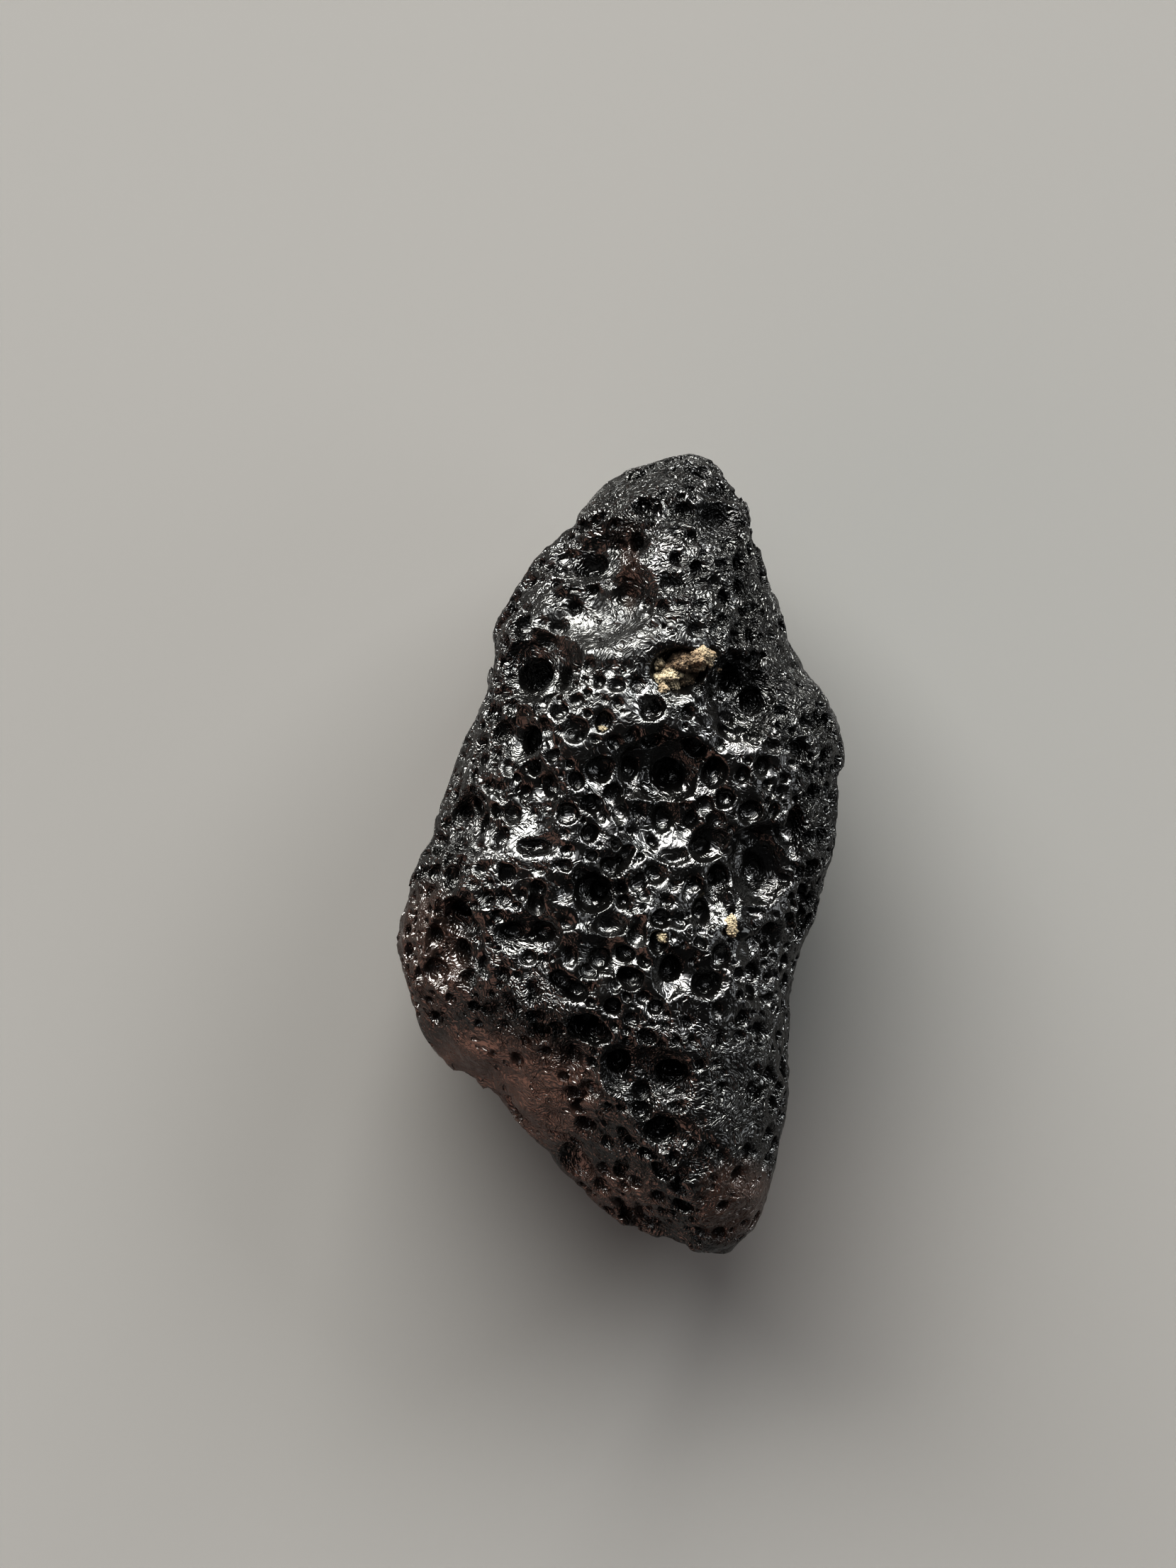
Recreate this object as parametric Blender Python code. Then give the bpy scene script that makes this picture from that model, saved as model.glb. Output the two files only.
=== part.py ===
"""A tektite: one pitted piece of black natural glass, 21 mm long, with tan soil lodged in one pit.

The stone lies on its back on a small flat spot, with its pitted front up. X runs across it,
Y along it towards the narrow tip, and Z up. The origin is under its middle, on the surface it
lies on. Sizes in the tables are in millimetres and are turned into metres where they are used.
"""

import math
import random

import bpy
import numpy as np
from mathutils import Vector, noise
from mathutils.bvhtree import BVHTree

MM = 0.001

# Driving dimensions
LENGTH = 21.0 * MM
WIDTH = 11.63 * MM
FRONT_HEIGHT = 4.45 * MM
BACK_DEPTH = 3.95 * MM
REST_CUT = 0.26 * MM  # how far the rounded back is worn flat where it rests

# Form of the body
SIDE_ROUNDNESS = 0.84  # 1 gives an ellipsoid, less gives fuller shoulders
RIM_SWAY = 0.30 * MM  # how far the widest line rises and falls round the stone
RIM_WAVES = 2  # how often it does so in one round
RIM_TURN = 0.6  # where the first wave starts, in radians
LUMP_SIZE = 2.6 * MM
LUMP_HEIGHT = 0.16 * MM
LUMP_ROUGHNESS, LUMP_STEP, LUMP_LAYERS = 0.6, 2.0, 3  # of the noise that makes the lumps
FACET_FLATNESS = 0.8
MOST_RAISED = 0.7  # how far a shallow pit's ball is raised, as a share of its depth axis
SHARP_ANGLE = math.radians(45)  # edges sharper than this are shaded as edges

# Fineness of the solids
BODY_SUBDIVISIONS = 6
CUTTER_SUBDIVISIONS = 3
SOIL_SUBDIVISIONS = 3
VOXEL = 0.10 * MM
BODY_FACES = 8700

# Soil in its pit
SOIL_PLACE = (1.57, 4.86)
SOIL_PIT = (1.85, 1.40, 0.80)  # across, along, deep
SOIL_GAP = 0.10 * MM
SOIL_LUMP = 0.09 * MM
SOIL_LUMPS_ACROSS = 2.3
SOIL_SINK = 0.05 * MM

# Pits on the sides and the back, which follow no drawing
BACK_DISHES = 16
BACK_DISH_WIDTHS = (1.5, 2.6)
BACK_DISH_DEPTHS = (0.14, 0.2)  # as a share of the width
BACK_DISH_SPACING = 2.1 * MM
BACK_PITS = 58
BACK_PIT_WIDTHS = (0.5, 1.15)
BACK_PIT_DEPTHS = (0.35, 0.65)
BACK_PIT_SPACING = 0.95 * MM
BACK_PIT_LENGTHS = (0.75, 1.2)  # as a share of the width
TRIES_PER_PIT = 40
REST_CLEARING = 0.7 * MM
HIGHEST_STREWN = 0.25
SEED = 7

# Colours and gloss
GLASS_COLOUR, GLASS_ROUGHNESS = (0.012, 0.011, 0.010), 0.25
SOIL_COLOUR, SOIL_ROUGHNESS = (0.34, 0.21, 0.11), 0.95

# The outline seen from above, clockwise from the tip, from the middle of its box
OUTLINE = [
    (1.86, 10.50), (2.42, 10.30), (2.73, 10.02), (2.97, 9.63), (3.29, 9.46), (3.46, 8.99),
    (3.57, 8.38), (3.75, 7.73), (4.18, 6.62), (4.40, 5.65), (4.83, 4.85), (5.39, 4.29),
    (5.69, 3.74), (5.82, 2.16), (5.67, 1.19), (5.63, 0.30), (5.39, -0.63), (5.20, -1.56),
    (4.85, -2.55), (4.63, -3.70), (4.48, -5.00), (4.50, -5.65), (4.40, -6.76), (4.09, -8.16),
    (3.90, -8.99), (3.59, -9.83), (2.97, -10.43), (2.32, -10.50), (1.49, -10.20), (0.46, -9.83),
    (-0.46, -9.31), (-1.21, -8.53), (-1.86, -7.69), (-2.56, -7.14), (-3.16, -6.41), (-4.24, -5.69),
    (-4.98, -4.91), (-5.48, -3.98), (-5.72, -2.95), (-5.82, -2.12), (-5.67, -1.38), (-5.30, -0.26),
    (-4.83, 0.48), (-4.61, 1.51), (-4.33, 2.43), (-3.90, 3.36), (-3.53, 4.20), (-3.35, 5.13),
    (-3.16, 6.15), (-2.75, 6.99), (-2.04, 8.01), (-1.17, 8.75), (-0.56, 9.55), (0.28, 10.11),
    (1.12, 10.39),
]

# Broad soft hollows: x, y, across, along, deep; those with a negative depth are on the back
HOLLOWS = [
    (1.50, 0.40, 6.4, 5.4, 0.50), (-0.60, 7.75, 3.0, 2.0, 0.50), (-0.55, 6.00, 3.2, 2.0, 0.30),
    (-2.00, 4.70, 2.8, 2.2, 0.40), (-3.90, 0.90, 2.2, 2.0, 0.30), (0.90, 2.20, 5.0, 2.4, 0.40),
    (-4.30, -2.30, 2.4, 2.2, 0.35), (2.70, 8.50, 1.8, 1.4, 0.30), (3.60, -0.40, 3.4, 3.0, 0.40),
    (0.90, -5.60, 3.8, 1.8, 0.30), (2.80, 3.90, 2.4, 2.6, 0.35), (3.20, -2.10, 3.0, 1.6, 0.30),
    (-1.80, 5.80, 4.4, 5.0, -0.60), (2.70, -3.60, 4.6, 5.4, -0.70), (-2.90, -4.40, 4.0, 3.6, -0.45),
    (2.60, 4.60, 4.2, 4.0, -0.50),
]

# Flattened flanks: the direction each one faces, and its distance from the middle
FACETS = [
    ((-0.516, -0.567, 0.643), 5.75), ((-0.62, 0.55, 0.56), 6.15), ((0.86, -0.10, 0.50), 5.35),
    ((0.15, -0.74, -0.66), 8.10), ((-0.70, 0.20, -0.69), 4.75), ((0.66, 0.42, -0.62), 5.75),
]

# Wide dishes of the front with sharp edges: x, y, across, along, deep
FRONT_DISHES = [
    (-0.60, 7.80, 2.50, 1.35, 0.42), (-0.45, 6.10, 2.90, 1.35, 0.34), (-1.95, 4.72, 2.20, 1.90, 0.45),
    (-3.85, 0.85, 1.70, 1.50, 0.28), (0.95, 2.30, 2.60, 1.50, 0.40), (-4.35, -2.45, 1.90, 1.70, 0.32),
    (3.15, 4.25, 1.90, 1.90, 0.42), (2.60, 8.45, 1.50, 1.10, 0.26), (3.55, -0.10, 2.10, 2.00, 0.45),
    (-0.35, -1.45, 2.00, 1.60, 0.38), (-2.45, -2.20, 1.90, 1.30, 0.34), (1.90, -3.15, 2.30, 1.40, 0.36),
    (0.75, -5.65, 2.60, 1.20, 0.32), (1.15, 0.60, 2.20, 1.60, 0.32), (-2.50, 1.00, 1.80, 2.40, 0.26),
    (1.30, -7.40, 1.70, 1.30, 0.26), (3.70, -3.20, 1.60, 2.00, 0.28), (-0.90, -5.60, 1.80, 1.90, 0.28),
]

# The larger pits of the front: x, y, across, along, deep
FRONT_PITS = [
    # Tip and upper left
    (-0.74, 7.60, 1.08, 0.82, 0.75), (-1.58, 7.51, 0.56, 0.52, 0.27), (-0.09, 8.07, 0.71, 0.56, 0.31),
    (0.13, 6.84, 0.82, 0.56, 0.54), (2.55, 8.81, 1.15, 0.63, 0.43), (2.86, 8.25, 0.63, 0.48, 0.44),
    (1.34, 7.10, 0.78, 0.63, 0.35), (2.47, 7.14, 0.48, 0.56, 0.42),
    # Below the tip
    (-1.58, 5.98, 0.71, 0.48, 0.29), (-2.25, 4.74, 1.19, 1.08, 0.91), (-1.47, 4.66, 0.48, 0.97, 0.55),
    (0.45, 4.46, 0.52, 0.48, 0.40), (0.82, 3.83, 0.78, 0.74, 0.61), (-2.38, 3.01, 0.89, 0.89, 0.71),
    (-0.13, 2.95, 0.52, 0.48, 0.25), (0.33, 3.08, 0.48, 0.63, 0.44), (-2.94, 2.32, 0.48, 0.63, 0.28),
    (-2.27, 2.29, 0.52, 0.52, 0.42), (2.49, 5.28, 0.41, 0.63, 0.41),
    # Cluster right of the soil
    (3.44, 4.07, 0.82, 1.00, 0.72), (2.88, 4.61, 0.85, 0.82, 0.67), (2.10, 4.35, 0.59, 0.48, 0.43),
    (2.84, 3.27, 0.59, 0.63, 0.49), (3.48, 3.16, 0.63, 0.52, 0.29), (4.03, 2.82, 0.74, 0.52, 0.50),
    # Left side
    (-2.84, 1.04, 0.52, 0.67, 0.47), (-2.27, 0.26, 1.23, 0.56, 0.66), (-3.48, -1.17, 0.46, 0.59, 0.42),
    (-3.05, -1.12, 0.50, 0.59, 0.44), (-2.19, -0.93, 0.63, 0.56, 0.47), (-4.31, -1.67, 0.56, 0.71, 0.50),
    (-4.79, -2.12, 0.46, 0.56, 0.41), (-4.16, -2.53, 0.67, 0.78, 0.58), (-4.72, -3.46, 0.56, 0.52, 0.43),
    (-2.79, -2.04, 0.78, 0.56, 0.53), (-2.03, -2.01, 0.82, 0.74, 0.62), (-2.43, -2.69, 0.52, 0.52, 0.26),
    (-2.29, -3.64, 0.45, 0.89, 0.50), (-2.71, -5.39, 0.41, 0.52, 0.37),
    # Middle
    (1.25, 2.12, 1.12, 1.00, 0.85), (1.95, 2.77, 0.71, 0.74, 0.58), (0.84, 2.94, 0.59, 0.67, 0.50),
    (-0.50, 2.23, 0.93, 0.89, 0.73), (0.24, 2.27, 0.59, 0.78, 0.55), (2.42, 2.16, 0.89, 1.00, 0.76),
    (3.22, 2.10, 0.52, 0.59, 0.28), (1.10, 0.91, 0.63, 0.89, 0.60), (0.04, 1.08, 0.63, 0.74, 0.55),
    (0.93, -0.52, 0.67, 0.59, 0.50), (1.43, -0.02, 0.97, 0.59, 0.61), (2.32, 0.26, 0.89, 0.85, 0.70),
    (3.44, 1.12, 0.82, 0.78, 0.64), (3.48, 0.41, 0.89, 0.59, 0.58), (4.68, 0.71, 1.04, 1.04, 0.83),
    (3.55, -0.43, 0.85, 1.15, 0.79), (2.62, -0.58, 0.71, 0.93, 0.65), (4.29, -0.63, 0.63, 0.41, 0.25),
    (-1.43, -0.97, 0.59, 0.85, 0.57), (-0.61, -0.97, 0.74, 0.85, 0.64), (0.00, -0.85, 0.52, 0.52, 0.42),
    (-0.30, -1.82, 1.08, 0.78, 0.73), (0.50, -1.75, 0.50, 0.52, 0.26), (-1.41, -1.80, 0.63, 0.48, 0.28),
    (-1.32, -2.71, 0.52, 0.74, 0.50),
    # Lower half
    (0.26, -3.22, 0.46, 0.67, 0.45), (1.32, -2.99, 0.74, 0.89, 0.65), (2.29, -3.33, 0.97, 0.85, 0.73),
    (-0.98, -4.57, 0.78, 0.71, 0.59), (-1.25, -5.24, 0.50, 0.67, 0.46), (-0.04, -5.45, 0.74, 0.93, 0.66),
    (1.30, -5.71, 1.08, 0.85, 0.77), (-0.80, -6.21, 0.89, 0.71, 0.40), (3.22, -4.29, 0.56, 0.52, 0.43),
    (2.17, -1.95, 0.59, 0.48, 0.43), (3.48, -1.51, 0.85, 0.45, 0.49), (3.49, -2.34, 0.78, 0.52, 0.51),
    (4.31, -2.84, 0.71, 0.59, 0.52), (1.06, -7.23, 1.00, 0.85, 0.74), (1.45, -6.62, 0.63, 0.45, 0.27),
    (-0.43, -8.29, 0.45, 0.63, 0.27), (-1.67, -7.36, 0.82, 0.30, 0.25),
]


def clear_scene():
    """Removes every object of the file that the script is run in."""
    for obj in list(bpy.data.objects):
        bpy.data.objects.remove(obj)


def material(name, colour, roughness):
    """A Principled material with one colour and one gloss."""
    mat = bpy.data.materials.new(name)
    mat.use_nodes = True
    shader = mat.node_tree.nodes["Principled BSDF"]
    shader.inputs["Base Color"].default_value = (*colour, 1.0)
    shader.inputs["Roughness"].default_value = roughness
    shader.inputs["Metallic"].default_value = 0.0
    shader.inputs["IOR"].default_value = 1.5
    mat.diffuse_color = (*colour, 1.0)
    return mat


def new_object(name, mesh, mat=None):
    """Puts a mesh in the scene as an object, with its material."""
    obj = bpy.data.objects.new(name, mesh)
    bpy.context.scene.collection.objects.link(obj)
    if mat:
        mesh.materials.append(mat)
    return obj


def ball_mesh(name, subdivisions, radius=1.0):
    """A sphere of near-equal triangles, from Blender's icosphere operator."""
    bpy.ops.mesh.primitive_ico_sphere_add(subdivisions=subdivisions, radius=radius)
    ball = bpy.context.object
    mesh = ball.data
    mesh.name = name
    bpy.data.objects.remove(ball)
    return mesh


def skin_points(directions):
    """Puts unit directions on the skin of the body, which is centred on the origin here."""
    angle = np.arctan2(directions[:, 1], directions[:, 0])
    lift = np.arcsin(np.clip(directions[:, 2], -1.0, 1.0))
    drawn = np.array(OUTLINE) * MM
    drawn_angle = np.arctan2(drawn[:, 1], drawn[:, 0])
    radius = np.interp(angle, drawn_angle, np.hypot(drawn[:, 0], drawn[:, 1]), period=math.tau)
    reach = np.cos(lift) ** SIDE_ROUNDNESS * radius
    rise = np.sign(lift) * np.abs(np.sin(lift)) ** SIDE_ROUNDNESS
    points = np.empty_like(directions)
    points[:, 0] = reach * np.cos(angle)
    points[:, 1] = reach * np.sin(angle)
    points[:, 2] = rise * np.where(lift > 0, FRONT_HEIGHT, BACK_DEPTH)
    return points


def sink_hollows(points):
    """Lowers the front, or raises the back, smoothly over each broad hollow."""
    for x, y, across, along, deep in HOLLOWS:
        from_middle = ((points[:, 0] - x * MM) / (across * MM / 2)) ** 2
        from_middle += ((points[:, 1] - y * MM) / (along * MM / 2)) ** 2
        bowl = np.clip(1.0 - from_middle, 0.0, None) ** 2 * deep * MM
        points[:, 2] -= np.where(points[:, 2] * deep > 0, bowl, 0.0)


def press_facets(points):
    """Pushes what stands past each flank's plane back towards that plane."""
    for facing, distance in FACETS:
        facing = np.array(facing) / np.linalg.norm(facing)
        past = np.clip(points @ facing - distance * MM, 0.0, None)
        points -= np.outer(past * FACET_FLATNESS, facing)


def raise_lumps(points):
    """Adds the gentle unevenness of a piece of glass that was never shaped."""
    middle_free = points / np.linalg.norm(points, axis=1, keepdims=True)
    for i, point in enumerate(points):
        height = noise.fractal(Vector(point) / LUMP_SIZE, LUMP_ROUGHNESS, LUMP_STEP, LUMP_LAYERS)
        points[i] += middle_free[i] * height * LUMP_HEIGHT


def body_blank():
    """The body before its pits: the closed skin, with its lowest part at the rest cut."""
    mesh = ball_mesh("tektite", BODY_SUBDIVISIONS)
    directions = np.empty(len(mesh.vertices) * 3)
    mesh.vertices.foreach_get("co", directions)
    directions = directions.reshape(-1, 3)
    directions /= np.linalg.norm(directions, axis=1, keepdims=True)
    points = skin_points(directions)
    sink_hollows(points)
    press_facets(points)
    raise_lumps(points)
    around = np.arctan2(points[:, 1], points[:, 0])
    level = np.clip(1.0 - np.abs(points[:, 2]) / BACK_DEPTH, 0.0, 1.0)
    points[:, 2] += RIM_SWAY * np.sin(RIM_WAVES * around + RIM_TURN) * level
    points[:, 2] -= points[:, 2].min() + REST_CUT
    for axis, size in ((0, WIDTH), (1, LENGTH)):
        low, high = points[:, axis].min(), points[:, axis].max()
        points[:, axis] = (points[:, axis] - (low + high) / 2) * size / (high - low)
    mesh.vertices.foreach_set("co", points.ravel())
    mesh.update()
    return mesh


def pit_cutter(name, ball, group, place, facing, across, along, deep):
    """An ellipsoid that a pit is cut with, its deep axis along the skin's normal.

    A deep pit is a half ball. A shallow one is the low part of a bigger ball, raised off the skin.
    """
    cutter = bpy.data.objects.new(name, ball)
    group.objects.link(cutter)
    share = min(max(1.0 - 2.0 * deep / max(across, along), 0.0), MOST_RAISED)
    depth_axis = deep / (1.0 - share)
    widen = 1.0 / math.sqrt(1.0 - share ** 2)
    cutter.scale = (widen * across / 2, widen * along / 2, depth_axis)
    cutter.rotation_mode = "QUATERNION"
    cutter.rotation_quaternion = Vector((0, 0, 1)).rotation_difference(facing)
    cutter.location = place + facing * depth_axis * share
    cutter.hide_render = True
    cutter.display_type = "WIRE"
    return cutter


def front_cutters(ball, group, skin):
    """One cutter for each dish and pit of the front, and one for the pit with the soil."""
    drawn = FRONT_DISHES + FRONT_PITS + [(*SOIL_PLACE, *SOIL_PIT)]
    for number, (x, y, across, along, deep) in enumerate(drawn):
        above = Vector((x * MM, y * MM, LENGTH))
        place, facing, _, _ = skin.ray_cast(above, Vector((0, 0, -1)))
        pit_cutter(f"front_pit_{number:02d}", ball, group, place, facing,
                   across * MM, along * MM, deep * MM)


def strewn_cutters(name, ball, group, skin, count, widths, depths, spacing, seed):
    """Pits at seeded random places on the sides and the back, kept off the resting spot."""
    dice = random.Random(seed)
    middle = Vector((0, 0, BACK_DEPTH))
    placed = []
    for _ in range(count * TRIES_PER_PIT):
        if len(placed) == count:
            break
        way = Vector((dice.gauss(0, 1), dice.gauss(0, 1), dice.gauss(0, 1))).normalized()
        way.y *= LENGTH / WIDTH
        if way.z > HIGHEST_STREWN:
            continue
        outside = middle + way.normalized() * LENGTH
        place, facing, _, _ = skin.ray_cast(outside, middle - outside)
        reach = REST_CLEARING + widths[0] * MM
        near_rest = math.hypot(place.x, place.y) < reach and place.z < BACK_DEPTH / 2
        if near_rest or any((place - other).length < spacing for other in placed):
            continue
        across = dice.uniform(*widths) * MM
        along = across * dice.uniform(*BACK_PIT_LENGTHS)
        pit_cutter(f"{name}_{len(placed):02d}", ball, group, place, facing,
                   across, along, across * dice.uniform(*depths))
        placed.append(place)


def floor_cutter():
    """A block with its top at the floor, which leaves the resting spot flat."""
    bpy.ops.mesh.primitive_cube_add(size=1.0)
    block = bpy.context.object
    block.name = "floor_block"
    block.scale = (2 * LENGTH, 2 * LENGTH, LENGTH)
    block.location = (0, 0, -LENGTH / 2)
    block.hide_render = True
    block.display_type = "WIRE"
    return block


def cut(obj, name, cutter):
    """A Boolean difference with one cutter object, or with all of a collection."""
    boolean = obj.modifiers.new(name, "BOOLEAN")
    boolean.operation = "DIFFERENCE"
    boolean.solver = "EXACT"
    if isinstance(cutter, bpy.types.Collection):
        boolean.operand_type = "COLLECTION"
        boolean.collection = cutter
    else:
        boolean.object = cutter


def evaluated_faces(obj):
    """How many faces an object has after the modifiers it has now."""
    bpy.context.view_layer.update()
    shown = obj.evaluated_get(bpy.context.evaluated_depsgraph_get())
    return len(shown.data.polygons)


def make_body(glass):
    """The stone: its blank less its pits, evened out and thinned to few faces, cut flat below."""
    block = floor_cutter()
    ball = ball_mesh("pit_ball", CUTTER_SUBDIVISIONS)
    mesh = body_blank()
    skin = BVHTree.FromPolygons([v.co for v in mesh.vertices], [p.vertices for p in mesh.polygons])
    body = new_object("tektite", mesh, glass)
    group = bpy.data.collections.new("pit_cutters")
    bpy.context.scene.collection.children.link(group)
    front_cutters(ball, group, skin)
    strewn_cutters("back_dish", ball, group, skin, BACK_DISHES, BACK_DISH_WIDTHS,
                   BACK_DISH_DEPTHS, BACK_DISH_SPACING, SEED)
    strewn_cutters("back_pit", ball, group, skin, BACK_PITS, BACK_PIT_WIDTHS,
                   BACK_PIT_DEPTHS, BACK_PIT_SPACING, SEED + 1)
    cut(body, "Pits", group)
    even = body.modifiers.new("Even", "REMESH")
    even.mode = "VOXEL"
    even.voxel_size = VOXEL
    thin = body.modifiers.new("Thin", "DECIMATE")
    thin.show_viewport = thin.show_render = False
    quads = evaluated_faces(body)
    thin.ratio = BODY_FACES / (2 * quads)
    thin.show_viewport = thin.show_render = True
    cut(body, "Rest", block)
    mesh.shade_smooth()
    mesh.set_sharp_from_angle(angle=SHARP_ANGLE)
    return skin


def make_soil(clay, skin):
    """The lump of soil, a little smaller than the pit that holds it, its top near the skin."""
    x, y = SOIL_PLACE
    across, along, deep = (size * MM for size in SOIL_PIT)
    place, facing, _, _ = skin.ray_cast(Vector((x * MM, y * MM, LENGTH)), Vector((0, 0, -1)))
    mesh = ball_mesh("soil_in_pit", SOIL_SUBDIVISIONS)
    turn = Vector((0, 0, 1)).rotation_difference(facing)
    half = Vector((across / 2 - SOIL_GAP, along / 2 - SOIL_GAP, deep - SOIL_GAP - SOIL_SINK))
    for vertex in mesh.vertices:
        lump = noise.noise(Vector(vertex.co) * SOIL_LUMPS_ACROSS) * SOIL_LUMP
        point = Vector(vertex.co[axis] * half[axis] for axis in range(3))
        point *= 1.0 - SOIL_LUMP / half.y + lump / half.y
        point.z = min(point.z, lump) - SOIL_SINK
        vertex.co = place + turn @ point
    mesh.shade_smooth()
    return new_object("soil_in_pit", mesh, clay)


def main():
    clear_scene()
    glass = material("black_glass", GLASS_COLOUR, GLASS_ROUGHNESS)
    clay = material("tan_soil", SOIL_COLOUR, SOIL_ROUGHNESS)
    skin = make_body(glass)
    make_soil(clay, skin)


main()
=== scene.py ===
# %% [markdown]
# A tektite is a splash of natural glass, thrown out when a meteorite hit the ground. This one is a
# long black piece about 21 mm long. Its skin is full of cups that the soil etched into the glass,
# and one pit still holds tan soil. The solid that is already made carries the true size, the broad
# form and the larger pits. This notebook remakes the same stone finely enough to be looked at
# closely, and gives it its gloss. Lengths in the tables are in millimetres, or as said above them.

# %% Load the solid model and keep its box
import math
import random

import bmesh
import bpy
import numpy as np
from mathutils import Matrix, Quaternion, Vector, noise
from mathutils.bvhtree import BVHTree


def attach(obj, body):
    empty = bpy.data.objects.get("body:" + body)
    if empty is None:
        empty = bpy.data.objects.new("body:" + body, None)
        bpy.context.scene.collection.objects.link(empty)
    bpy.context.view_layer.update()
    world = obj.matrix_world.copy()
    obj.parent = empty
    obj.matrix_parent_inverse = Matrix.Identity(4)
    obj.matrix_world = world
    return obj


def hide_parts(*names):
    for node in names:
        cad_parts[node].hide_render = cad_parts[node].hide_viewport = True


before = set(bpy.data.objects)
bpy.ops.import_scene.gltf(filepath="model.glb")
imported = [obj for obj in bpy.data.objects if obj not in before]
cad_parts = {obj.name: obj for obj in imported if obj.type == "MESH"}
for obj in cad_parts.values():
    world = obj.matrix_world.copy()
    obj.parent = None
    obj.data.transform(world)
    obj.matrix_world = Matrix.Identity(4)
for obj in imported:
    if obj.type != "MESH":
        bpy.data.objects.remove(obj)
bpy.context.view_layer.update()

MM = 0.001

# %% [markdown]
# The stone lies on its back, and the camera looks straight down on its pitted front, as a person
# looks at a stone in the hand. A 60 mm lens at about 70 mm distance gives the same perspective as
# a close photograph. The stone sits a little off the middle of the picture, so the camera stands
# beside it instead of turning, which keeps the view square to the stone.

# %% Camera above the stone
EYE = Vector((-0.846, 1.858, 72.4)) * MM
OUTLINE_LEVEL = 3.9 * MM  # the height of the widest line of the stone

camera = bpy.data.objects.new("camera", bpy.data.cameras.new("camera"))
bpy.context.scene.collection.objects.link(camera)
camera.location = EYE
camera.data.lens = 60
camera.data.sensor_width = 36
camera.data.clip_start = 1 * MM
camera.data.clip_end = 5
bpy.context.scene.camera = camera
print("camera height above the stone's edge, mm:", round((EYE.z - OUTLINE_LEVEL) / MM, 1))

# %% [markdown]
# Black glass shows almost nothing of its own colour. What the eye sees is the light that it
# mirrors, so the lights do most of the work. A broad soft box past the narrow tip lights the lower
# wall of every cup, with a second box beside it and a weak one above. Low cards edge both flanks,
# and a warm card deepens the brown of the lower left. The floor is plain and pale.

# %% Floor and soft studio lights
FLOOR_SIZE = 12.0
FLOOR_COLOUR, FLOOR_ROUGHNESS = (0.130, 0.128, 0.126), 0.7
STUDIO_COLOUR, STUDIO_STRENGTH = (0.80, 0.81, 0.83, 1), 0.05
EXPOSURE, GAMMA = 1.50, 0.70
AIM = Vector((0, 0, 4 * MM))  # every light faces the middle of the stone
LIGHT_REACH = 5.0  # every light stands this many times farther off, and is as much larger


def plain_material(name, colour, roughness):
    """A Principled material with one colour and no gloss, for the floor."""
    made = bpy.data.materials.new(name)
    made.use_nodes = True
    shader = made.node_tree.nodes["Principled BSDF"]
    shader.inputs["Base Color"].default_value = (*colour, 1)
    shader.inputs["Roughness"].default_value = roughness
    shader.inputs["Specular IOR Level"].default_value = 0.0
    return made


def soft_box(name, place, size, brightness, colour):
    """A rectangular light that faces the stone. Brightness is its radiance, so its size is free."""
    light = bpy.data.lights.new(name, "AREA")
    light.shape = "RECTANGLE"
    light.size, light.size_y = (length * MM * LIGHT_REACH for length in size)
    light.energy = brightness * math.pi * light.size * light.size_y
    light.color = colour
    box = bpy.data.objects.new(name, light)
    bpy.context.scene.collection.objects.link(box)
    box.location = Vector(place) * MM * LIGHT_REACH
    box.rotation_euler = (AIM - box.location).to_track_quat("-Z", "Y").to_euler()
    box.visible_camera = False
    return box


bpy.ops.mesh.primitive_plane_add(size=FLOOR_SIZE)
floor = bpy.context.object
floor.name = "floor"
floor.data.materials.append(plain_material("pale_floor", FLOOR_COLOUR, FLOOR_ROUGHNESS))

# Each soft box: its name, place in mm, size in mm, radiance and colour
soft_box("key", (-50, 175, 105), (230, 100), 14, (1.0, 0.995, 0.94))
soft_box("fill", (-40, 170, 240), (360, 170), 1.6, (0.97, 0.985, 1.0))
soft_box("second", (130, 130, 90), (100, 70), 11, (0.97, 0.99, 0.98))
soft_box("low_card", (-150, 160, 45), (150, 50), 6, (0.97, 0.99, 1.0))
soft_box("side_card", (190, -20, 60), (90, 120), 1.9, (0.95, 0.98, 1.0))
soft_box("warm_card", (-140, -110, 50), (260, 120), 1.1, (1.0, 0.62, 0.50))

world = bpy.data.worlds.new("studio")
bpy.context.scene.world = world
world.use_nodes = True
world.node_tree.nodes["Background"].inputs["Color"].default_value = STUDIO_COLOUR
world.node_tree.nodes["Background"].inputs["Strength"].default_value = STUDIO_STRENGTH
viewing = bpy.context.scene.view_settings
viewing.view_transform = "Standard"
viewing.exposure, viewing.gamma = EXPOSURE, GAMMA

# %% [markdown]
# Shaders and Geometry Nodes are both built from node trees. Typed out as nodes and links, even a
# short sum takes many lines. Here one small class holds a socket and knows the plain operators,
# so that a sum of textures is written as a sum. A function adds any other node, and a few more
# stand for the nodes that come up often.

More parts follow.
